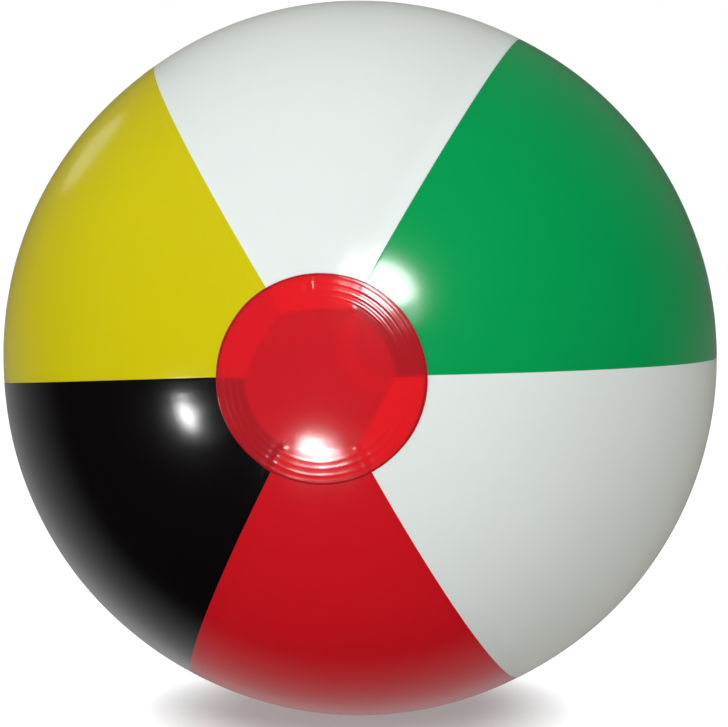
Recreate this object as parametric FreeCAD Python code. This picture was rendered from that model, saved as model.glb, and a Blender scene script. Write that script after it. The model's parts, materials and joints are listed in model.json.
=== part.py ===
import FreeCAD, Part
import math
import os

from FreeCAD import Vector

# An inflated vinyl beach ball: six welded gores, a round patch over each pole,
# and a push-in valve with a tethered plug in the rear patch.
#
# Millimetres. The origin is the ball's centre and +Z is up. The poles lie on the
# Y axis: the plain patch faces -Y and the patch with the valve faces +Y.
# Azimuths are degrees about the Y axis, from +X (0) towards +Z (90).
# Polar angles are degrees from the front pole (-Y) to the rear pole (+Y).

BALL_R = 150.0             # outside radius of the inflated ball
FILM = 0.3                 # vinyl film

# Each gore runs from its own seam to the next, so the widths add up to 360.
# Real gores stretch unevenly when they are blown up.
FIRST_SEAM = 1.0
GORES = (
    ("panel_green", 61.5),
    ("panel_white_top", 60.0),
    ("panel_yellow", 59.5),
    ("panel_black", 60.0),
    ("panel_red", 56.0),
    ("panel_white_side", 63.0),
)
LAP = 6.0                  # strip that runs on under the next gore
LAP_ROOT = 2.0             # where the strip leaves its own gore, behind the seam
GORE_END_R = 27.0          # from the Y axis to the corners of the open gore ends

CAP_R = 37.5               # both round patches
CAP_FILM = 0.4
RIDGE_RADII = (29.2, 31.8, 34.2, 36.4)   # rings left by the welding tool
RIDGE_HALF_WIDTH = 0.55
RIDGE_HEIGHT = 0.3

# Valve. Heights are along +Y from the ball's surface at the rear pole.
VALVE_HOLE_R = 10.5        # in the rear patch
BASE_R = 18.0              # flange, welded inside the patch
BASE_HOLE_R = 10.0
BASE_FILM = 0.8
STEM_R = 5.0
STEM_TOP = 0.8
STEM_BOTTOM = -9.6
RIM_R = 6.0
RIM_HEIGHT = 1.4
PLUG_BORE_R = 3.2          # upper stretch, which the plug closes
PUMP_BORE_R = 3.0          # lower stretch, which takes a pump's nozzle
PUMP_BORE_LENGTH = 5.0
BORE_CHAMFER = 0.3
SKIRT_FILM = 0.4
SKIRT_OUTER_TOP = -0.6
SKIRT_INNER_TOP = -7.1
SKIRT_GAP = 0.1            # between the skirt's inner edge and the stem

SEAT_GAP = 0.05            # between the plug's head and the rim, and above the flap
HEAD_R = 6.2
HEAD_HEIGHT = 1.6
HEAD_ROUND = 0.5
PLUG_PROFILE = ((3.1, 0.0), (3.0, -2.0), (2.75, -3.1), (2.2, -4.2))   # radius, depth below head

HINGE_X = 8.5              # the strap's fold, beside the rim
STRAP_FILM = 0.6
STRAP_WIDTH = 4.0
STRAP_FOLD_R = 0.55        # inside of the fold

FLAP_R = 4.4
FLAP_FILM = 0.4
FLAP_HINGE_WIDTH = 4.0     # the rounded edge that the flap swings on

CENTRE = Vector(0, 0, 0)
AZIMUTH_AXIS = Vector(0, -1, 0)
BEYOND = 10.0              # how far cutting tools reach past the ball


def polar_point(radius, polar):
    """A point of the XY half-plane, at a polar angle from the front pole."""
    angle = math.radians(polar)
    return Vector(radius * math.sin(angle), -radius * math.cos(angle), 0)


def polar_of(distance, radius=BALL_R):
    """The polar angle at which a sphere is this far from the Y axis."""
    return math.degrees(math.asin(distance / radius))


def arc(radius, start, end):
    """An edge along a sphere's outline between two polar angles."""
    middle = polar_point(radius, (start + end) / 2)
    return Part.Arc(polar_point(radius, start), middle, polar_point(radius, end)).toShape()


def face_of(edges):
    return Part.Face(Part.Wire(edges))


def shell_section(inner, outer, start, end):
    """The section of a spherical skin between two polar angles."""
    return face_of([
        arc(outer, start, end),
        Part.makeLine(polar_point(outer, end), polar_point(inner, end)),
        arc(inner, end, start),
        Part.makeLine(polar_point(inner, start), polar_point(outer, start)),
    ])


def turned(section, start=0.0, sweep=360.0):
    """A section of the XY half-plane turned about the Y axis, from one azimuth."""
    section.rotate(CENTRE, AZIMUTH_AXIS, start)
    return section.revolve(CENTRE, AZIMUTH_AXIS, sweep)


def valve_point(distance, height):
    return Vector(distance, BALL_R + height, 0)


def turned_outline(points):
    """A solid turned about the Y axis from (distance, height) points at the valve."""
    corners = [valve_point(*point) for point in points]
    return turned(Part.Face(Part.makePolygon(corners + corners[:1])))


def gore_ends():
    """The prism that opens the gores at both poles, with a corner on each seam."""
    azimuth = FIRST_SEAM
    corners = []
    for _, width in GORES:
        angle = math.radians(azimuth)
        corners.append(Vector(GORE_END_R * math.cos(angle), -BALL_R - BEYOND,
                              GORE_END_R * math.sin(angle)))
        azimuth += width
    outline = Part.Face(Part.makePolygon(corners + corners[:1]))
    return outline.extrude(Vector(0, 2 * (BALL_R + BEYOND), 0))


def lap_slab(seam):
    """The strip beside a seam that holds its lap, as a slab along the seam's plane."""
    slab = Part.makeBox(BALL_R + BEYOND, 2 * (BALL_R + BEYOND), LAP_ROOT + LAP,
                        Vector(0, -BALL_R - BEYOND, -LAP_ROOT))
    slab.rotate(CENTRE, AZIMUTH_AXIS, seam)
    return slab


def gore(start, width, ends):
    """One gore, with the lap that runs on under the next gore."""
    tip = polar_of(GORE_END_R / 2)
    film = turned(shell_section(BALL_R - FILM, BALL_R, tip, 180 - tip), start, width)
    seam = start + width
    under = turned(shell_section(BALL_R - 2 * FILM, BALL_R - FILM, tip, 180 - tip),
                   seam - width / 2, width)
    lap = under.common(lap_slab(seam))
    return film.fuse(lap).cut(ends).removeSplitter()


def cap(hole_r=0.0):
    """A round patch on the front pole, with its weld ridges outside."""
    outside = BALL_R + CAP_FILM
    start = polar_of(hole_r)
    rim = polar_of(CAP_R)
    edges = []
    reached = start
    for distance in RIDGE_RADII:
        near = polar_of(distance - RIDGE_HALF_WIDTH)
        top = polar_point(outside + RIDGE_HEIGHT, polar_of(distance))
        far = polar_of(distance + RIDGE_HALF_WIDTH)
        edges.append(arc(outside, reached, near))
        edges.append(Part.Arc(polar_point(outside, near), top,
                              polar_point(outside, far)).toShape())
        reached = far
    edges.append(arc(outside, reached, rim))
    edges.append(Part.makeLine(polar_point(outside, rim), polar_point(BALL_R, rim)))
    edges.append(arc(BALL_R, rim, start))
    edges.append(Part.makeLine(polar_point(BALL_R, start), polar_point(outside, start)))
    return turned(face_of(edges))


def rear(shape):
    """The same shape on the rear pole."""
    shape.rotate(CENTRE, Vector(0, 0, 1), 180)
    return shape


def valve_base():
    section = shell_section(BALL_R - BASE_FILM, BALL_R,
                            180 - polar_of(BASE_R), 180 - polar_of(BASE_HOLE_R))
    return turned(section)


def flange_edge(height):
    """How far the edge of the flange's hole is from the Y axis, at a height."""
    return (BALL_R + height) * math.tan(math.radians(polar_of(BASE_HOLE_R)))


def valve_skirt():
    """The thin cone that lets the stem be pushed in, drawn in its pushed-in shape."""
    inner = STEM_R + SKIRT_GAP
    outer_bottom = SKIRT_OUTER_TOP - SKIRT_FILM
    return turned_outline([
        (flange_edge(SKIRT_OUTER_TOP), SKIRT_OUTER_TOP),
        (inner, SKIRT_INNER_TOP),
        (inner, SKIRT_INNER_TOP - SKIRT_FILM),
        (flange_edge(outer_bottom), outer_bottom),
    ])


def valve_stem():
    shoulder = STEM_BOTTOM + PUMP_BORE_LENGTH
    return turned_outline([
        (PLUG_BORE_R + BORE_CHAMFER, STEM_TOP),
        (RIM_R, STEM_TOP),
        (RIM_R, STEM_TOP - RIM_HEIGHT),
        (STEM_R, STEM_TOP - RIM_HEIGHT),
        (STEM_R, STEM_BOTTOM),
        (PUMP_BORE_R, STEM_BOTTOM),
        (PUMP_BORE_R, shoulder),
        (PLUG_BORE_R, shoulder),
        (PLUG_BORE_R, STEM_TOP - BORE_CHAMFER),
    ])


def valve_plug():
    """A flat round head on a tapered shank, whose nose clears the bore as it swings out."""
    under = STEM_TOP + SEAT_GAP
    top = under + HEAD_HEIGHT
    shank = [(radius, under + depth) for radius, depth in PLUG_PROFILE]
    nose = (0, shank[-1][1])
    return turned_outline([
        (0, top),
        (HEAD_R - HEAD_ROUND, top),
        (HEAD_R, top - HEAD_ROUND),
        (HEAD_R, under),
    ] + shank + [nose])


def plug_strap():
    """The strap from the rim's side, out, over its fold and back to the plug's head."""
    outer = STRAP_FOLD_R + STRAP_FILM
    fold = STEM_TOP + SEAT_GAP

    def at(along, up):
        return valve_point(HINGE_X + along, fold + up) - Vector(0, 0, STRAP_WIDTH / 2)

    def fold_edge(radius, first):
        return Part.Arc(at(0, first * radius), at(radius, 0), at(0, -first * radius)).toShape()

    head_side = HEAD_R + 2 * SEAT_GAP - HINGE_X
    rim_side = RIM_R - 1 - HINGE_X
    section = face_of([
        Part.makeLine(at(head_side, outer), at(0, outer)),
        fold_edge(outer, 1),
        Part.makeLine(at(0, -outer), at(rim_side, -outer)),
        Part.makeLine(at(rim_side, -outer), at(rim_side, -STRAP_FOLD_R)),
        Part.makeLine(at(rim_side, -STRAP_FOLD_R), at(0, -STRAP_FOLD_R)),
        fold_edge(STRAP_FOLD_R, -1),
        Part.makeLine(at(0, STRAP_FOLD_R), at(head_side, STRAP_FOLD_R)),
        Part.makeLine(at(head_side, STRAP_FOLD_R), at(head_side, outer)),
    ])
    strap = section.extrude(Vector(0, 0, STRAP_WIDTH))
    rim = Part.makeCylinder(RIM_R, RIM_HEIGHT, valve_point(0, STEM_TOP - RIM_HEIGHT),
                            Vector(0, 1, 0))
    return strap.cut(rim)


def check_flap():
    """The disc under the stem, with the rounded edge that it swings on."""
    bottom = STEM_BOTTOM - SEAT_GAP - FLAP_FILM
    disc = Part.makeCylinder(FLAP_R, FLAP_FILM, valve_point(0, bottom), Vector(0, 1, 0))
    start = valve_point(-FLAP_R, bottom + FLAP_FILM / 2) - Vector(0, 0, FLAP_HINGE_WIDTH / 2)
    edge = Part.makeCylinder(FLAP_FILM / 2, FLAP_HINGE_WIDTH, start, Vector(0, 0, 1))
    tab = Part.makeBox(FLAP_R / 2, FLAP_FILM, FLAP_HINGE_WIDTH,
                       start - Vector(0, FLAP_FILM / 2, 0))
    return disc.fuse([edge, tab]).removeSplitter()


def pieces():
    """Every piece of the ball, as (node name, solid)."""
    ends = gore_ends()
    seam = FIRST_SEAM
    for name, width in GORES:
        yield name, gore(seam, width, ends)
        seam += width
    yield "cap_front", cap()
    yield "cap_rear", rear(cap(VALVE_HOLE_R))
    yield "valve_base", valve_base()
    yield "valve_skirt", valve_skirt()
    yield "valve_stem", valve_stem()
    yield "valve_plug", valve_plug()
    yield "plug_strap", plug_strap()
    yield "check_flap", check_flap()


os.makedirs("parts", exist_ok=True)
for node, solid in pieces():
    solid.exportStep(f"parts/{node}.step")
    box = solid.BoundBox
    print(f"{node}: {len(solid.Solids)} solid, valid {solid.isValid()}, "
          f"{solid.Volume / 1000:.3f} cm3, Y {box.YMin:.2f} to {box.YMax:.2f}")
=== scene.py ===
import json
import math
import bmesh
import bpy
import numpy as np
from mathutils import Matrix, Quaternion, Vector


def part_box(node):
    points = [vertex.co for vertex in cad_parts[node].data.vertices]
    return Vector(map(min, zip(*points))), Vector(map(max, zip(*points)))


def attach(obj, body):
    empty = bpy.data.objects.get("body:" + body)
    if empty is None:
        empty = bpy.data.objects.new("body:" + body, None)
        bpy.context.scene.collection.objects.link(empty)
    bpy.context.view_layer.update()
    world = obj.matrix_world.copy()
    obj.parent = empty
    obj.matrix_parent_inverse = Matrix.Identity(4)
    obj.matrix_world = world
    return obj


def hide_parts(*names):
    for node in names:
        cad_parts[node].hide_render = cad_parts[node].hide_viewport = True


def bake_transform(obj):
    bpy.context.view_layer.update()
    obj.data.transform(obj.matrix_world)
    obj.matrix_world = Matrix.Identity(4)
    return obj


# Inflatable beach ball: six welded vinyl gores, a see-through red patch over each
# pole, and a push-in valve with a tethered plug in the rear patch. Metres. The poles
# lie on the Y axis; azimuths run from +X (0) to +Z (90), polar angles from -Y to +Y.

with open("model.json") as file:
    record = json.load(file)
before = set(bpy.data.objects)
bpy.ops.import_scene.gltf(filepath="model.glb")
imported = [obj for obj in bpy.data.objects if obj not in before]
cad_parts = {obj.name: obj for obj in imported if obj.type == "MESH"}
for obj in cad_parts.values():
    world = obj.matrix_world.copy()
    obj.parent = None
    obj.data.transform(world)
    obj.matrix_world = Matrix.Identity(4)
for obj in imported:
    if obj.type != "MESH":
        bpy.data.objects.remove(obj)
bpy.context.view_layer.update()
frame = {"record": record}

MM = 0.001
MOUNTS = {mount["name"]: mount for mount in frame["record"]["mounts"]}
BALL_R = -MOUNTS["floor_contact"]["pos_m"][2]
FILM = 0.3 * MM

FIRST_SEAM = 1.0
# name, width in degrees, material, how far the gore's open end bulges from a straight cut
GORES = (
    ("panel_green", 61.5, "green_vinyl", 0.8),
    ("panel_white_top", 60.0, "white_vinyl", 0.4),
    ("panel_yellow", 59.5, "yellow_vinyl", 0.35),
    ("panel_black", 60.0, "black_vinyl", 1.0),
    ("panel_red", 56.0, "red_vinyl", 0.5),
    ("panel_white_side", 63.0, "white_vinyl", 0.0),
)
SEAMS = np.radians(FIRST_SEAM + np.cumsum([0.0] + [gore[1] for gore in GORES]))
# How far each weld bows sideways from its meridian, in the order of the gores' first seams:
# near the front patch, and round the ball's middle.
WELD_BOWS = MM * np.array(
    ((1.0, -1.0), (2.0, 1.0), (-1.0, 4.0), (-2.0, 4.5), (-0.5, 2.5), (0.5, -1.0)))
FRONT_BOW_REACH = math.radians(45)
MIDDLE_BOW_REACH = math.radians(40)
BOWS_START = math.radians(15)      # nearer to a pole, a weld keeps the turn that it has here
GORE_END_R = 27.0 * MM
LAP = 6.0 * MM
LAP_ROOT = 2.0 * MM
LAP_GAP = 0.1 * MM          # between a lap strip and the film over it
# In millimetres: how far a gore's middle stands out over its seams, the height of each soft
# wave, and that of the puckers where the patches pull at the film.
LOBE_HEIGHT = 0.30
WAVE_HEIGHT = 0.03
PUCKER_HEIGHT = 0.03

CAP_R = 37.5 * MM
CAP_FILM = 0.35 * MM
CAP_LIFT = 0.14 * MM        # of a patch's inner face over the gores' form
# A patch's outermost rings, as shares of its radius, and how far its outer face drops on
# each, in millimetres, to round the edge.
EDGE_RINGS = (0.9975, 0.9992, 1.0)
EDGE_DROPS = (0.04, 0.12, 0.22)
SHADED_EDGE_BREADTH = 0.75 * MM       # breadth of a patch's darker edge: partly the denser red of its cut edge, partly painted shade where it meets the gores
RIDGE_RADII = (29.2, 31.8, 34.2, 36.2)
VALVE_HOLE_R = 10.5 * MM


# ---------------------------------------------------------------- the ball's surface

def on_ball(radius, polar, azimuth):
    """Points at a radius, polar angle and azimuth, as an array of (..., 3)."""
    radius, polar, azimuth = np.broadcast_arrays(radius, polar, azimuth)
    azimuth = azimuth + drift(polar, azimuth)
    return np.stack([radius * np.sin(polar) * np.cos(azimuth),
                     -radius * np.cos(polar),
                     radius * np.sin(polar) * np.sin(azimuth)], -1)


def smooth_step(low, high, x):
    t = np.clip((x - low) / (high - low), 0.0, 1.0)
    return t * t * (3 - 2 * t)


def bump(x, width):
    return np.exp(-(x / width) ** 2)


def across_gore(azimuth):
    """Where an azimuth lies in its gore, from 0 at one seam to 1 at the next, and which gore."""
    turn = np.mod(azimuth - SEAMS[0], 2 * np.pi) + SEAMS[0]
    index = np.clip(np.searchsorted(SEAMS, turn, side="right") - 1, 0, len(GORES) - 1)
    return (turn - SEAMS[index]) / (SEAMS[index + 1] - SEAMS[index]), index


def wander(index, polar):
    """How far a weld lies beside its meridian: two bows, near the front patch and round the middle."""
    near_front, round_middle = WELD_BOWS[index, 0], WELD_BOWS[index, 1]
    return (near_front * bump(polar, FRONT_BOW_REACH)
            + round_middle * bump(polar - np.pi / 2, MIDDLE_BOW_REACH))


def drift(polar, azimuth):
    """Turn of the film at a point, shared out between the wandering welds on its two sides."""
    along, index = across_gore(azimuth)
    polar = np.clip(polar, BOWS_START, np.pi - BOWS_START)
    sideways = (wander(index, polar) * (1 - along)
                + wander((index + 1) % len(GORES), polar) * along)
    return sideways / (BALL_R * np.sin(polar))


# Long soft waves that keep the film from being a perfect sphere: direction, waves round
# the ball's radius, phase.
SOFT_WAVES = (
    ((0.8, 0.1, 0.6), 9.0, 0.4),
    ((-0.5, 0.7, 0.5), 11.0, 2.1),
    ((0.2, -0.6, 0.8), 13.0, 4.4),
    ((0.6, 0.8, -0.1), 15.0, 1.3),
    ((-0.7, -0.2, 0.7), 18.0, 5.2),
)


def form_height(polar, azimuth):
    """Height of the inflated form over the true sphere: lobes, soft waves and puckers."""
    along, _ = across_gore(azimuth)
    lobes = LOBE_HEIGHT * (np.sin(np.pi * along) - 0.6) * np.sin(polar) ** 2
    point = on_ball(1.0, polar, azimuth)
    waves = sum(WAVE_HEIGHT * np.sin(count * (point @ np.array(way)) + phase)
                for way, count, phase in SOFT_WAVES)
    from_patch = BALL_R * np.minimum(polar, np.pi - polar) - CAP_R
    puckers = PUCKER_HEIGHT * bump(from_patch, 9 * MM) * np.cos(
        19 * azimuth + 2.0 * np.sign(polar - 1.57))
    return (lobes + waves + puckers) * MM


# Small tucks in the film beside the patches: azimuth in degrees, distance past the
# patch's edge, length, half-width and height in millimetres. Some are dents.
TUCKS = (
    (241.8, 1.5, 3.0, 0.8, 0.16), (243.6, 3.0, 4.0, 1.0, -0.08), (239.6, 1.0, 3.0, 0.8, -0.10),
    (296.4, 1.0, 3.5, 0.9, 0.12), (298.8, 3.0, 4.5, 1.1, -0.07), (122.0, 1.0, 3.5, 1.0, 0.05),
    (182.3, 1.0, 3.0, 0.9, 0.05), (1.4, 1.0, 3.0, 0.8, 0.07), (272.0, 1.0, 5.0, 2.0, 0.03),
    (152.0, 1.0, 5.0, 2.0, 0.03), (330.0, 1.5, 6.0, 2.2, -0.03),
)


def tuck_height(polar, azimuth):
    """The tucks round both patches. The rear ones are turned on, so the two poles differ."""
    height = 0.0
    for towards_rear in (False, True):
        distance = BALL_R * (np.pi - polar if towards_rear else polar)
        for place, past, length, width, high in TUCKS:
            centre = math.radians(place + 30.0 * towards_rear)
            turn = np.angle(np.exp(1j * (azimuth - centre)))
            sideways = turn * BALL_R * np.sin(polar)
            height = height + high * MM * bump(sideways, width * MM) * bump(
                distance - CAP_R - past * MM, length * MM)
    return height


def seam_height(after, before):
    """The weld's form from the distances to the seam behind and the seam ahead: the lap lies
    under the first strip and lifts it, and both edges dip a little into the seam."""
    lap = 0.03 * (1 - smooth_step(LAP - 2.0 * MM, LAP + 1.4 * MM, after))
    edge = -0.05 * bump(after, 0.3 * MM)
    joggle = -0.03 * bump(before, 0.4 * MM)
    return (lap + edge + joggle) * MM


def gore_end(azimuth):
    """Distance from the Y axis to the gores' open ends, which the patches cover."""
    along, index = across_gore(azimuth)
    half = (SEAMS[index + 1] - SEAMS[index]) / 2
    straight = GORE_END_R * np.cos(half) / np.cos((along * 2 - 1) * half)
    bulge = np.array([gore[3] for gore in GORES])[index]
    return straight + bulge * (GORE_END_R - straight)


# ---------------------------------------------------------------- mesh builders

def finished(name, points, faces, material_of=None, sharp=40):
    """A mesh object with outward normals, smooth but for its sharp edges."""
    mesh = bpy.data.meshes.new(name)
    mesh.from_pydata([tuple(p) for p in points], [], faces)
    if material_of is not None:
        mesh.polygons.foreach_set("material_index", np.asarray(material_of, np.int32))
    build = bmesh.new()
    build.from_mesh(mesh)
    bmesh.ops.recalc_face_normals(build, faces=build.faces)
    build.to_mesh(mesh)
    build.free()
    mesh.shade_smooth()
    mesh.set_sharp_from_angle(angle=math.radians(sharp))
    piece = bpy.data.objects.new(name + "_shape", mesh)
    bpy.context.scene.collection.objects.link(piece)
    return piece


def lined(shell):
    """For each face of a film made by skin, 1 if it lies on the film's inner side, else 0."""
    points, faces = shell
    return [int(min(face) >= len(points) // 2) for face in faces]


def skin(outer, inner, wraps=False, fan=False):
    """Points and faces of a closed film between two grids of the same shape.
    wraps joins the last column to the first; fan closes the first row to a centre point."""
    rows, columns = outer.shape[:2]
    points = [*outer.reshape(-1, 3), *inner.reshape(-1, 3)]
    under = rows * columns
    last = columns if wraps else columns - 1
    faces = []
    for row in range(rows - 1):
        for column in range(last):
            beside = (column + 1) % columns
            quad = (row * columns + column, (row + 1) * columns + column,
                    (row + 1) * columns + beside, row * columns + beside)
            faces.append(quad)
            faces.append(tuple(corner + under for corner in reversed(quad)))
    for row in ((rows - 1,) if fan else (0, rows - 1)):
        for column in range(last):
            near = row * columns + column
            far = row * columns + (column + 1) % columns
            faces.append((near, far, far + under, near + under))
    if not wraps:
        for row in range(rows - 1):
            for column in (0, columns - 1):
                near = row * columns + column
                far = near + columns
                faces.append((near, far, far + under, near + under))
    if fan:
        for start in (0, under):
            centre = len(points)
            points.append(np.mean(points[start:start + columns], axis=0))
            for column in range(columns):
                beside = (column + 1) % columns
                faces.append((start + column, start + beside, centre))
    return points, faces


def joined(*parts):
    points, faces = [], []
    for more_points, more_faces in parts:
        first = len(points)
        points += list(more_points)
        faces += [tuple(corner + first for corner in face) for face in more_faces]
    return points, faces


# Distances from a seam at which a gore's columns run, close together at the seam.
SEAM_COLUMNS = np.array([0.0, 0.2, 0.45, 0.75, 1.1, 1.6, 2.4, 3.5, 4.6, 5.4, 6.0, 6.6, 7.4]) * MM


def gore_rows():
    """Distances along a gore from its front end, close together near both patches."""
    length = BALL_R * np.pi - 2 * BALL_R * math.asin(GORE_END_R / BALL_R)
    fine = np.arange(0.0, 30.0, 0.8) * MM
    middle = np.linspace(30 * MM, length - 30 * MM, 140)
    return np.concatenate([fine, middle, length - fine[::-1]]) / length


def gore_grid(index):
    """Polar angles and azimuths of a gore's grid."""
    start, end = SEAMS[index], SEAMS[index + 1]
    share = gore_rows()[:, None]
    at_seam = math.asin(GORE_END_R / BALL_R)
    nominal = at_seam + (np.pi - 2 * at_seam) * share
    girth = BALL_R * np.sin(nominal)
    near = SEAM_COLUMNS[None, :] / girth
    inside = np.linspace(0, 1, 50)[None, 1:-1]
    azimuth = np.concatenate([
        start + near,
        start + near[:, -1:] + (end - start - 2 * near[:, -1:]) * inside,
        end - near[:, ::-1],
    ], axis=1)
    clamped = np.clip(azimuth, start + 1e-7, end - 1e-7)
    tip = np.arcsin(gore_end(clamped) / BALL_R)
    return tip + (np.pi - 2 * tip) * share, clamped


def gore(index):
    """One gore: its film, and the uncoloured lap strip that runs on under the next gore."""
    name, width, slot, _ = GORES[index]
    polar, azimuth = gore_grid(index)
    girth = BALL_R * np.sin(polar)
    after = (azimuth - SEAMS[index]) * girth
    before = (SEAMS[index + 1] - azimuth) * girth
    height = form_height(polar, azimuth) + tuck_height(polar, azimuth) + seam_height(after, before)
    outer = on_ball(BALL_R + height, polar, azimuth)
    inner = on_ball(BALL_R + height - FILM, polar, azimuth)
    film = skin(outer, inner)

    share = gore_rows()[::2, None]
    at_seam = math.asin(GORE_END_R / BALL_R)
    polar = at_seam + (np.pi - 2 * at_seam) * share
    offset = np.linspace(-LAP_ROOT, LAP, 6)[None, :]
    azimuth = SEAMS[index + 1] + offset / (BALL_R * np.sin(polar))
    polar = np.broadcast_to(polar, azimuth.shape)
    height = form_height(polar, azimuth) + tuck_height(polar, azimuth) - FILM
    height = height - LAP_GAP
    lap = skin(on_ball(BALL_R + height, polar, azimuth),
               on_ball(BALL_R + height - FILM, polar, azimuth))

    uncoloured = [1] * len(lap[1])
    piece = finished(name, *joined(film, lap), lined(film) + uncoloured)
    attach(piece, "ball")
    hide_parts(name)
    return piece


# Radial creases in a patch: azimuth in degrees, distance from the middle, length,
# half-width and height in millimetres.
CREASES = (
    (95.0, 33.5, 2.6, 0.7, 0.15), (98.5, 32.5, 2.6, 0.8, -0.10), (240.5, 34.0, 3.5, 0.8, 0.10),
    (237.0, 31.5, 3.0, 0.8, -0.07), (297.0, 34.5, 3.0, 0.8, 0.09), (301.0, 33.0, 3.0, 0.8, -0.06),
    (62.0, 35.0, 3.0, 0.9, 0.07), (181.0, 35.0, 3.0, 0.9, 0.05), (205.0, 33.0, 4.0, 1.2, 0.03),
    (123.0, 35.0, 3.0, 0.9, 0.05), (1.0, 35.0, 3.0, 0.8, 0.07),
)


def cap_rim(azimuth):
    """The patch's outline, cut slightly out of round, with a tuck at one seam."""
    turn = np.angle(np.exp(1j * (azimuth - math.radians(240.5))))
    return CAP_R * (1 + 0.004 * np.cos(2 * azimuth + 0.6) + 0.0025 * np.cos(5 * azimuth + 1.0)
                    + 0.001 * np.cos(11 * azimuth)) + 0.45 * MM * bump(turn, 0.07)


def cap_heights(distance, azimuth, rim, turned):
    """Heights of a patch's inner and outer faces over the sphere."""
    polar = np.arcsin(distance / BALL_R)
    polar = np.pi - polar if turned else polar
    base = form_height(polar, azimuth) + CAP_LIFT
    end = gore_end(azimuth)
    sink = 0.03 * MM * (1 - smooth_step(end - 4.0 * MM, end + 0.4 * MM, distance))
    inner = base - sink
    ridges = 0.0
    for number, radius in enumerate(RIDGE_RADII):
        wobble = 0.22 * np.sin(2 * azimuth + 1.7 * number) + 0.10 * np.sin(7 * azimuth + number)
        strength = 0.034 * (1 + 0.5 * np.cos(azimuth * (2 + number % 2) + 2.3 * number))
        ridges = ridges + strength * bump(distance - (radius + wobble) * MM, 0.65 * MM)
    ribbed = bump(np.angle(np.exp(1j * (azimuth - math.radians(45)))), 0.5)
    ribs = 0.018 * ribbed * np.sin(2 * np.pi * distance / (1.15 * MM) + 1.5 * np.sin(4 * azimuth))
    ridges = ridges + ribs * smooth_step(27.5 * MM, 29.5 * MM, distance)
    creases = 0.0
    for place, middle, length, width, high in CREASES:
        turn = np.angle(np.exp(1j * (azimuth - math.radians(place))))
        creases = creases + high * bump(turn * distance, width * MM) * bump(
            distance - middle * MM, length * MM)
    corners = 0.0
    for seam in SEAMS[:-1]:
        turn = np.angle(np.exp(1j * (azimuth - seam)))
        corners = corners + 0.09 * bump(turn * distance, 1.2 * MM) * bump(
            distance - GORE_END_R - 0.4 * MM, 1.1 * MM)
    bead = 0.025 * bump(distance - rim + 0.55 * MM, 0.35 * MM)
    shape = (ridges + creases + corners + bead) * MM
    return inner + 0.5 * np.maximum(shape, 0), inner + CAP_FILM + shape


def cap(name, turned, hole=0.0):
    """A round patch. turned puts it on the rear pole; hole leaves room for the valve."""
    azimuth = np.linspace(0, 2 * np.pi, 360, endpoint=False)[None, :]
    rim = cap_rim(azimuth)
    first = max(hole, 0.6 * MM)
    plain = np.arange(first, 21 * MM, 1.0 * MM)
    fine = np.concatenate([np.arange(21, 28, 0.4), np.arange(28, 37.4, 0.22)]) * MM
    share = np.concatenate([plain / CAP_R, fine / CAP_R, EDGE_RINGS])[:, None]
    distance = rim * share
    if hole:
        distance[0] = hole
    inner, outer = cap_heights(distance, azimuth, rim, turned)
    rounding = np.zeros(len(share))
    rounding[-len(EDGE_DROPS):] = EDGE_DROPS
    outer = outer - rounding[:, None] * MM
    polar = np.arcsin(distance / BALL_R)
    polar = np.pi - polar if turned else polar
    points, faces = skin(on_ball(BALL_R + outer, polar, azimuth),
                         on_ball(BALL_R + inner, polar, azimuth), wraps=True, fan=not hole)
    reach = np.array([math.hypot(p[0], p[2]) for p in points])
    # The outermost rim takes the darker red: partly the film's denser cut edge, partly painted shade
    # where the patch meets the gores.
    edge = CAP_R - SHADED_EDGE_BREADTH
    shaded_rim_face = [min(reach[corner] for corner in face) > edge for face in faces]
    piece = finished(name, points, faces, shaded_rim_face, sharp=60)
    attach(piece, "ball")
    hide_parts(name)
    return piece


# ---------------------------------------------------------------- the valve

BORE = MOUNTS["pump_socket"]
PUMP_BORE_R = BORE["dims"]["r_mm"]
STEM_BOTTOM = (BORE["pos_m"][1] - BALL_R) / MM - BORE["dims"]["length_mm"] / 2
SHOULDER = STEM_BOTTOM + BORE["dims"]["length_mm"]
STEM_TOP = (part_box("valve_stem")[1][1] - BALL_R) / MM
RIM_OUT_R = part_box("valve_stem")[1][0] / MM
STEM_OUT_R = 5.0
PLUG_BORE_R = 3.2
HEAD_OUT_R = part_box("valve_plug")[1][0] / MM
HEAD_TOP = (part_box("valve_plug")[1][1] - BALL_R) / MM
HEAD_BOTTOM = STEM_TOP + 0.05
BASE_OUT_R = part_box("valve_base")[1][0] / MM
BASE_HOLE_R = 10.0
HINGE = Vector((8.5 * MM, BALL_R + HEAD_BOTTOM * MM, 0))
STRAP_FILM = 0.6
STRAP_WIDTH = 4.0
STRAP_FOLD_R = 0.85
FLAP_OUT_R = 4.4
FLAP_FILM = 0.4
SEGMENTS = 96


def dome(distance, depth=0.0):
    """Height over the rear pole's tangent plane, in millimetres, of the sphere that much inside."""
    radius = BALL_R / MM - depth
    return math.sqrt(radius ** 2 - distance ** 2) - BALL_R / MM


def rounded(corners, steps=5):
    """(distance, height, round) corners as an outline with rounded corners."""
    outline = []
    count = len(corners)
    for number, (distance, height, round_r) in enumerate(corners):
        here = np.array([distance, height])
        if not round_r:
            outline.append(here)
            continue
        before = np.array(corners[number - 1][:2]) - here
        after = np.array(corners[(number + 1) % count][:2]) - here
        start = here + before / np.linalg.norm(before) * round_r
        end = here + after / np.linalg.norm(after) * round_r
        for t in np.linspace(0, 1, steps):
            outline.append((1 - t) ** 2 * start + 2 * t * (1 - t) * here + t ** 2 * end)
    return outline


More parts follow.
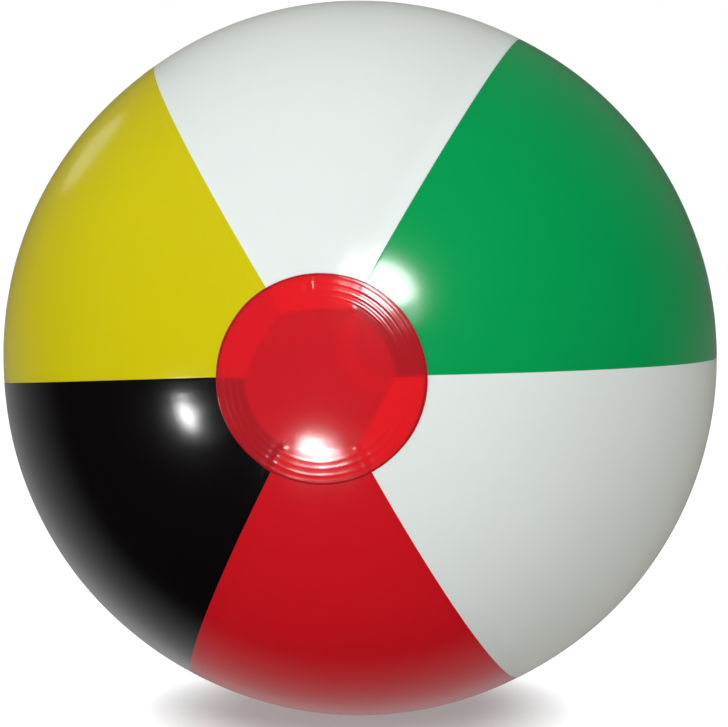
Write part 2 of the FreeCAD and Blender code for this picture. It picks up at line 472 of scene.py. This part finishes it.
def lathe(outline, closed=True):
    """Points and faces of an outline turned about the Y axis over the rear pole.
    closed joins its last point to its first; otherwise both lie on the axis."""
    points, faces, rings = [], [], []
    for distance, height in outline:
        place = len(points)
        if distance < 1e-6:
            points.append((0.0, BALL_R + height * MM, 0.0))
            rings.append([place] * SEGMENTS)
            continue
        for step in range(SEGMENTS):
            turn = 2 * math.pi * step / SEGMENTS
            points.append((distance * MM * math.cos(turn), BALL_R + height * MM,
                           distance * MM * math.sin(turn)))
        rings.append(list(range(place, place + SEGMENTS)))
    pairs = list(zip(rings, rings[1:] + rings[:1])) if closed else list(zip(rings, rings[1:]))
    for ring, following in pairs:
        for step in range(SEGMENTS):
            beside = (step + 1) % SEGMENTS
            corners = dict.fromkeys((ring[step], ring[beside], following[beside], following[step]))
            if len(corners) > 2:
                faces.append(tuple(corners))
    return points, faces


def swept(path, width, thickness):
    """Points and faces of a flat strap with rounded edges along a path in the XY plane."""
    half, thin = width / 2, thickness / 2
    section = [(thin * math.cos(a), math.copysign(half - thin, math.sin(a)) + thin * math.sin(a))
               for a in np.radians(np.arange(15, 375, 30))]
    points, faces = [], []
    path = [np.array(p, float) for p in path]
    for number, place in enumerate(path):
        along = path[min(number + 1, len(path) - 1)] - path[max(number - 1, 0)]
        side = np.array([-along[1], along[0]]) / np.linalg.norm(along)
        for away, sideways in section:
            at = place + side * away
            points.append((at[0], at[1], sideways))
    count = len(section)
    for number in range(len(path) - 1):
        for corner in range(count):
            beside = (corner + 1) % count
            faces.append((number * count + corner, number * count + beside,
                          (number + 1) * count + beside, (number + 1) * count + corner))
    faces.append(tuple(range(count)))
    faces.append(tuple(range((len(path) - 1) * count, len(path) * count)))
    return points, faces


def valve_piece(name, shape, body):
    piece = finished(name, *shape)
    if body:
        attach(piece, body)
    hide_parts(name)
    return piece


def valve_base():
    """The flange, which is welded to the inside of the patch round its hole."""
    top = [(d, dome(d) - 0.06, 0) for d in np.linspace(BASE_HOLE_R + 0.3, BASE_OUT_R - 0.3, 12)]
    bottom = [(d, dome(d, 0.8) + 0.02, 0)
              for d in np.linspace(BASE_OUT_R - 0.2, BASE_HOLE_R + 0.2, 12)]
    return valve_piece("valve_base", lathe(rounded(top + bottom)), "ball")


def valve_skirt():
    """The thin snap-through ring, pushed in: it rolls over from the flange down to the stem."""
    line = ((9.95, -0.75), (9.2, -0.95), (8.4, -1.7), (7.5, -3.3), (6.6, -5.2), (6.0, -6.6),
            (5.55, -7.35), (5.12, -7.5))
    upper = [(d, h + 0.18, 0) for d, h in line]
    lower = [(d, h - 0.18, 0) for d, h in reversed(line)]
    piece = valve_piece("valve_skirt", lathe(rounded(upper + lower)), None)
    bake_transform(piece)
    return piece


def valve_stem():
    """The mouthpiece tube: a rounded rim, a lip inside the mouth and a bead at the inner end."""
    corners = [
        (PLUG_BORE_R + 0.05, STEM_TOP, 0.3), (RIM_OUT_R, STEM_TOP, 0.35),
        (RIM_OUT_R, STEM_TOP - 1.4, 0.35), (STEM_OUT_R, STEM_TOP - 1.7, 0.25),
        (STEM_OUT_R, STEM_BOTTOM + 1.6, 0.2), (STEM_OUT_R - 0.12, STEM_BOTTOM + 1.4, 0),
        (STEM_OUT_R - 0.12, STEM_BOTTOM, 0.25), (PUMP_BORE_R, STEM_BOTTOM, 0.15),
        (PUMP_BORE_R, SHOULDER, 0.1), (PLUG_BORE_R, SHOULDER, 0.08),
    ]
    return valve_piece("valve_stem", lathe(rounded(corners)), "stem")


def valve_plug():
    """The plug: a dished head with a pull tab, on a bullet-nosed shank."""
    corners = [
        (0, HEAD_TOP - 0.55, 0), (3.6, HEAD_TOP - 0.55, 0.5), (4.3, HEAD_TOP, 0.4),
        (HEAD_OUT_R, HEAD_TOP, 0.45), (HEAD_OUT_R, HEAD_BOTTOM, 0.3), (3.08, HEAD_BOTTOM, 0.2),
        (2.98, HEAD_BOTTOM - 2.0, 0.3), (2.7, HEAD_BOTTOM - 3.1, 0.3),
        (2.1, HEAD_BOTTOM - 4.15, 0.4), (0, HEAD_BOTTOM - 4.2, 0),
    ]
    middle = (HEAD_TOP + HEAD_BOTTOM) / 2 + 0.1
    tab = [(-(5.6 + reach) * MM, BALL_R + (middle + 0.12 * reach) * MM)
           for reach in np.linspace(0, 2.6, 7)]
    shape = joined(lathe(rounded(corners), closed=False), swept(tab, 3.4 * MM, 0.7 * MM))
    return valve_piece("valve_plug", shape, "plug")


def plug_strap():
    """The strap from the rim, out, over its fold and back to the plug's head."""
    path = [(HINGE.x - reach * MM, HINGE.y - STRAP_FOLD_R * MM)
            for reach in np.linspace(2.75, 0.4, 6)]
    path += [(HINGE.x + STRAP_FOLD_R * MM * math.cos(turn),
              HINGE.y + STRAP_FOLD_R * MM * math.sin(turn))
             for turn in np.radians(np.linspace(-90, 90, 17))]
    path += [(HINGE.x - reach * MM, HINGE.y + STRAP_FOLD_R * MM)
             for reach in np.linspace(0.4, 2.4, 5)]
    shape = swept(path, STRAP_WIDTH * MM, STRAP_FILM * MM)
    piece = valve_piece("plug_strap", shape, None)
    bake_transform(piece)
    return piece


def check_flap():
    """The thin disc under the stem, with the tab that it swings on."""
    top = STEM_BOTTOM - 0.05
    corners = [(0, top, 0), (FLAP_OUT_R, top, 0.15), (FLAP_OUT_R, top - FLAP_FILM, 0.15),
               (0, top - FLAP_FILM, 0)]
    middle = BALL_R + (top - FLAP_FILM / 2) * MM
    tab = [(-x * MM, middle) for x in np.linspace(2.4, 4.5, 5)]
    shape = joined(lathe(rounded(corners), closed=False), swept(tab, 4 * MM, FLAP_FILM * MM))
    return valve_piece("check_flap", shape, "flap")


# ---------------------------------------------------------------- materials

FILM_ROUGHNESS = 0.17
ORANGE_PEEL = 0.04
BARE_GLOSS = 0.036     # share of light that a film's face reflects head on
CLEAR_HAZE = 0.55      # share of the light through a clear film that it scatters


def node(tree, kind, **settings):
    made = tree.nodes.new(kind)
    for name, value in settings.items():
        if hasattr(made, name):
            setattr(made, name, value)
        else:
            made.inputs[name.replace("_", " ")].default_value = value
    return made


def new_material(name):
    material = bpy.data.materials.new(name)
    material.use_nodes = True
    material.node_tree.nodes.clear()
    return material, material.node_tree


def noise(tree, scale, detail):
    """Noise over the object's own coordinates; scale is in features per metre."""
    place = node(tree, "ShaderNodeTexCoord")
    made = node(tree, "ShaderNodeTexNoise", Scale=scale, Detail=detail)
    tree.links.new(place.outputs["Object"], made.inputs["Vector"])
    return made.outputs["Fac"]


def ranged(tree, value, low, high, start=0.3, end=0.7):
    made = node(tree, "ShaderNodeMapRange")
    for name, number in (("From Min", start), ("From Max", end), ("To Min", low), ("To Max", high)):
        made.inputs[name].default_value = number
    tree.links.new(value, made.inputs["Value"])
    return made.outputs["Result"]


def mottled(tree, colour, depth):
    """A colour with slight cloudy variation, as in calendered film."""
    mix = node(tree, "ShaderNodeMix", data_type="RGBA")
    darker = [channel * (1 - depth) for channel in colour]
    mix.inputs["A"].default_value = (*darker, 1)
    mix.inputs["B"].default_value = (*colour, 1)
    tree.links.new(ranged(tree, noise(tree, 14.0, 4.0), 0, 1), mix.inputs["Factor"])
    return mix.outputs["Result"]


def film_surface(tree, colour, depth, rough, coat, ior):
    """The glossy film itself: pigment, a soft gloss and a thin clear top gloss, with orange
    peel and faint scuffs."""
    film = node(tree, "ShaderNodeBsdfPrincipled", IOR=ior)
    tree.links.new(mottled(tree, colour, depth), film.inputs["Base Color"])
    scuffs = ranged(tree, noise(tree, 90.0, 2.0), rough - 0.01, rough + 0.01, 0.2, 0.8)
    tree.links.new(scuffs, film.inputs["Roughness"])
    film.inputs["Coat Weight"].default_value = coat
    film.inputs["Coat Roughness"].default_value = 0.12
    film.inputs["Coat IOR"].default_value = ior
    grain = node(tree, "ShaderNodeBump", Strength=ORANGE_PEEL, Distance=0.0001)
    tree.links.new(noise(tree, 420.0, 2.0), grain.inputs["Height"])
    tree.links.new(grain.outputs["Normal"], film.inputs["Normal"])
    tree.links.new(grain.outputs["Normal"], film.inputs["Coat Normal"])
    return film.outputs["BSDF"]


def vinyl(name, colour, through, depth=0.04, rough=FILM_ROUGHNESS):
    """Coloured film. through is how much light each face lets into the ball; the gloss is
    raised to make up for it."""
    material, tree = new_material(name)
    gloss = math.sqrt(BARE_GLOSS / (1 - through))
    surface = film_surface(tree, colour, depth, rough, 0.2, (1 + gloss) / (1 - gloss))
    output = node(tree, "ShaderNodeOutputMaterial")
    if through:
        glow = node(tree, "ShaderNodeBsdfTranslucent", Color=(*colour, 1))
        mix = node(tree, "ShaderNodeMixShader", Fac=through)
        tree.links.new(surface, mix.inputs[1])
        tree.links.new(glow.outputs["BSDF"], mix.inputs[2])
        surface = mix.outputs["Shader"]
    tree.links.new(surface, output.inputs["Surface"])
    return material


def clear_vinyl(name, colour, tint, solid, ior=1.85):
    """See-through tinted film. solid is the share of light that its pigment turns back at each
    face; the haze scatters part of the rest."""
    material, tree = new_material(name)
    surface = film_surface(tree, colour, 0.03, FILM_ROUGHNESS, 1.0, ior)
    clear = node(tree, "ShaderNodeBsdfTransparent", Color=(*tint, 1))
    milky = node(tree, "ShaderNodeBsdfTranslucent", Color=(*tint, 1))
    passed = node(tree, "ShaderNodeMixShader", Fac=CLEAR_HAZE)
    mix = node(tree, "ShaderNodeMixShader", Fac=1 - solid)
    output = node(tree, "ShaderNodeOutputMaterial")
    tree.links.new(clear.outputs["BSDF"], passed.inputs[1])
    tree.links.new(milky.outputs["BSDF"], passed.inputs[2])
    tree.links.new(surface, mix.inputs[1])
    tree.links.new(passed.outputs["Shader"], mix.inputs[2])
    tree.links.new(mix.outputs["Shader"], output.inputs["Surface"])
    return material


def moulded_vinyl(name, colour):
    """The valve's soft, slightly milky moulded vinyl."""
    material, tree = new_material(name)
    body = node(tree, "ShaderNodeBsdfPrincipled", IOR=1.45)
    tree.links.new(mottled(tree, colour, 0.06), body.inputs["Base Color"])
    tree.links.new(ranged(tree, noise(tree, 900.0, 3.0), 0.28, 0.42), body.inputs["Roughness"])
    body.inputs["Subsurface Weight"].default_value = 0.35
    body.inputs["Subsurface Radius"].default_value = (1.0, 0.9, 0.8)
    body.inputs["Subsurface Scale"].default_value = 0.001
    body.inputs["Coat Weight"].default_value = 0.3
    body.inputs["Coat Roughness"].default_value = 0.15
    grain = node(tree, "ShaderNodeBump", Strength=0.15, Distance=0.00005)
    tree.links.new(noise(tree, 2500.0, 2.0), grain.inputs["Height"])
    tree.links.new(grain.outputs["Normal"], body.inputs["Normal"])
    output = node(tree, "ShaderNodeOutputMaterial")
    tree.links.new(body.outputs["BSDF"], output.inputs["Surface"])
    return material


MATERIALS = {
    "green_vinyl": vinyl("green_vinyl", (0.001, 0.385, 0.100), 0.30),
    "white_vinyl": vinyl("white_vinyl", (0.875, 0.96, 0.965), 0.38, depth=0.015),
    "yellow_vinyl": vinyl("yellow_vinyl", (0.74, 0.68, 0.002), 0.40),
    "black_vinyl": vinyl("black_vinyl", (0.003, 0.0022, 0.0025), 0.0),
    "red_vinyl": vinyl("red_vinyl", (0.70, 0.008, 0.018), 0.35),
}
PALE = (0.97, 0.91, 0.84)
LINING = vinyl("lining", PALE, 0.60, rough=0.4)
DENSE_LINING = vinyl("dense_lining", PALE, 0.15, rough=0.4)
LININGS = {"green_vinyl": DENSE_LINING, "black_vinyl": DENSE_LINING}
CLEAR_RED = clear_vinyl("clear_red_vinyl", (0.98, 0.045, 0.072), (1.0, 0.075, 0.12), 0.23)
# Darker, less clear red for the patches' rims: partly the denser cut edge, partly painted shade along
# it.
CLEAR_RED_SHADED_EDGE = clear_vinyl(
    "clear_red_edge", (0.42, 0.008, 0.016), (0.5, 0.01, 0.015), 0.75, ior=1.3)
VALVE_VINYL = moulded_vinyl("valve_vinyl", (0.80, 0.82, 0.80))


# ---------------------------------------------------------------- making the ball

for number in range(len(GORES)):
    film = gore(number).data
    film.materials.append(MATERIALS[GORES[number][2]])
    film.materials.append(LININGS.get(GORES[number][2], LINING))

for patch in (cap("cap_front", False), cap("cap_rear", True, VALVE_HOLE_R)):
    patch.data.materials.append(CLEAR_RED)
    patch.data.materials.append(CLEAR_RED_SHADED_EDGE)

for build in (valve_base, valve_skirt, valve_stem, valve_plug, plug_strap, check_flap):
    build().data.materials.append(VALVE_VINYL)


# ---------------------------------------------------------------- camera, light, floor

VIEW_AZIMUTH = math.radians(5.44)
VIEW_ELEVATION = math.radians(2.96)
VIEW_DISTANCE = 5.6 * BALL_R
LENS = 97.3
SHIFT = (0.0055, -0.0078)
LIGHT_DISTANCE = 1.6
FLOOR_REACH = 12.0
FLOOR_BELOW = 0.15 * MM     # the film's soft waves reach this far below the true sphere

BACK = Vector((math.sin(VIEW_AZIMUTH) * math.cos(VIEW_ELEVATION),
               -math.cos(VIEW_AZIMUTH) * math.cos(VIEW_ELEVATION),
               math.sin(VIEW_ELEVATION)))
RIGHT = Vector((math.cos(VIEW_AZIMUTH), math.sin(VIEW_AZIMUTH), 0))
UP = BACK.cross(RIGHT)


def add_camera():
    data = bpy.data.cameras.new("camera")
    data.lens = LENS
    data.shift_x, data.shift_y = SHIFT
    camera = bpy.data.objects.new("camera", data)
    camera.location = BACK * VIEW_DISTANCE
    camera.rotation_mode = "QUATERNION"
    camera.rotation_quaternion = BACK.to_track_quat("Z", "Y")
    bpy.context.scene.collection.objects.link(camera)
    bpy.context.scene.camera = camera


def add_light(name, way, size, radiance, turn=0.0, reflected=True):
    """A soft elliptical light. way is its direction from the ball as right, up and back in
    the camera's view, size its angular width and height in radians, and turn its roll."""
    data = bpy.data.lights.new(name, "AREA")
    data.shape = "ELLIPSE"
    data.size, data.size_y = (2 * LIGHT_DISTANCE * math.tan(angle / 2) for angle in size)
    data.energy = radiance * math.pi * (math.pi * data.size * data.size_y / 4)
    light = bpy.data.objects.new(name, data)
    way = (RIGHT * way[0] + UP * way[1] + BACK * way[2]).normalized()
    aim = way.to_track_quat("Z", "Y") @ Quaternion((0, 0, 1), math.radians(turn))
    light.location = way * LIGHT_DISTANCE
    light.rotation_mode = "QUATERNION"
    light.rotation_quaternion = aim
    light.visible_glossy = reflected
    bpy.context.scene.collection.objects.link(light)


def add_floor():
    """A pale floor, glowing like a light table, with a painted soft shadow under the ball where its
    glow fades.
    """
    mesh = bpy.data.meshes.new("floor")
    reach, low = FLOOR_REACH, -BALL_R - FLOOR_BELOW
    mesh.from_pydata([(-reach, -reach, low), (reach, -reach, low),
                      (reach, reach, low), (-reach, reach, low)], [], [(0, 1, 2, 3)])
    floor = bpy.data.objects.new("floor", mesh)
    bpy.context.scene.collection.objects.link(floor)
    material, tree = new_material("floor")
    paint = node(tree, "ShaderNodeBsdfPrincipled", Roughness=0.9)
    paint.inputs["Base Color"].default_value = (0.25, 0.25, 0.25, 1)
    paint.inputs["Specular IOR Level"].default_value = 0.0
    paint.inputs["Emission Color"].default_value = (1, 1, 1, 1)
    # Painted shadow: the floor's glow dims where the ball is near, by ambient occlusion.
    painted_shadow = node(tree, "ShaderNodeAmbientOcclusion", Distance=0.03)
    tree.links.new(ranged(tree, painted_shadow.outputs["AO"], 0.30, 0.95, start=0.2, end=0.9),
                   paint.inputs["Emission Strength"])
    output = node(tree, "ShaderNodeOutputMaterial")
    tree.links.new(paint.outputs["BSDF"], output.inputs["Surface"])
    mesh.materials.append(material)
    floor.visible_diffuse = False
    floor.visible_glossy = False
    floor.visible_transmission = False
    floor.visible_shadow = False


def add_world():
    """A white backdrop, light all round that is strongest high up behind on the left, and for
    the gloss a room that is dark in front of the ball, paler behind it and palest low down."""
    world = bpy.data.worlds.new("world")
    bpy.context.scene.world = world
    world.use_nodes = True
    world.cycles.sampling_method = "NONE"
    tree = world.node_tree
    tree.nodes.clear()
    place = node(tree, "ShaderNodeTexCoord")
    split = node(tree, "ShaderNodeSeparateXYZ")
    tree.links.new(place.outputs["Generated"], split.inputs["Vector"])
    behind = ranged(tree, split.outputs["Y"], 0.0, 1.0, start=0.22, end=0.80)
    low_down = ranged(tree, split.outputs["Z"], 0.55, 0.14, start=-0.5, end=0.1)
    glow = node(tree, "ShaderNodeMath", operation="MULTIPLY")
    tree.links.new(behind, glow.inputs[0])
    tree.links.new(low_down, glow.inputs[1])
    gloss_room = node(tree, "ShaderNodeBackground")
    tree.links.new(glow.outputs["Value"], gloss_room.inputs["Strength"])
    ambient = node(tree, "ShaderNodeBackground")
    towards = node(tree, "ShaderNodeVectorMath", operation="DOT_PRODUCT")
    tree.links.new(place.outputs["Generated"], towards.inputs[0])
    towards.inputs[1].default_value = (-0.40, 0.75, 0.53)
    tree.links.new(ranged(tree, towards.outputs["Value"], 0.33, 1.52, start=0.05, end=0.9),
                   ambient.inputs["Strength"])
    backdrop = node(tree, "ShaderNodeBackground", Strength=1.0)
    for background in (gloss_room, ambient, backdrop):
        background.inputs["Color"].default_value = (1, 1, 1, 1)
    path = node(tree, "ShaderNodeLightPath")
    for_gloss = node(tree, "ShaderNodeMixShader")
    tree.links.new(path.outputs["Is Glossy Ray"], for_gloss.inputs["Fac"])
    tree.links.new(ambient.outputs["Background"], for_gloss.inputs[1])
    tree.links.new(gloss_room.outputs["Background"], for_gloss.inputs[2])
    for_camera = node(tree, "ShaderNodeMixShader")
    tree.links.new(path.outputs["Is Camera Ray"], for_camera.inputs["Fac"])
    tree.links.new(for_gloss.outputs["Shader"], for_camera.inputs[1])
    tree.links.new(backdrop.outputs["Background"], for_camera.inputs[2])
    output = node(tree, "ShaderNodeOutputWorld")
    tree.links.new(for_camera.outputs["Shader"], output.inputs["Surface"])


add_camera()
add_floor()
add_world()
add_light("key", (0.125, 0.36, 0.92), (0.34, 0.22), 29, turn=-35)
add_light("low_fill", (-0.20, -0.44, 0.88), (0.20, 0.10), 50, turn=-20)
add_light("side", (-0.77, -0.25, 0.59), (0.14, 0.07), 52, turn=-60)
add_light("fill", (-0.50, 0.55, 0.67), (0.8, 0.8), 0.45, reflected=False)
add_light("wall", (-0.61, 0.47, -0.63), (0.22, 0.22), 0.8)
bpy.context.scene.cycles.diffuse_bounces = 8
bpy.context.scene.view_settings.view_transform = "Standard"
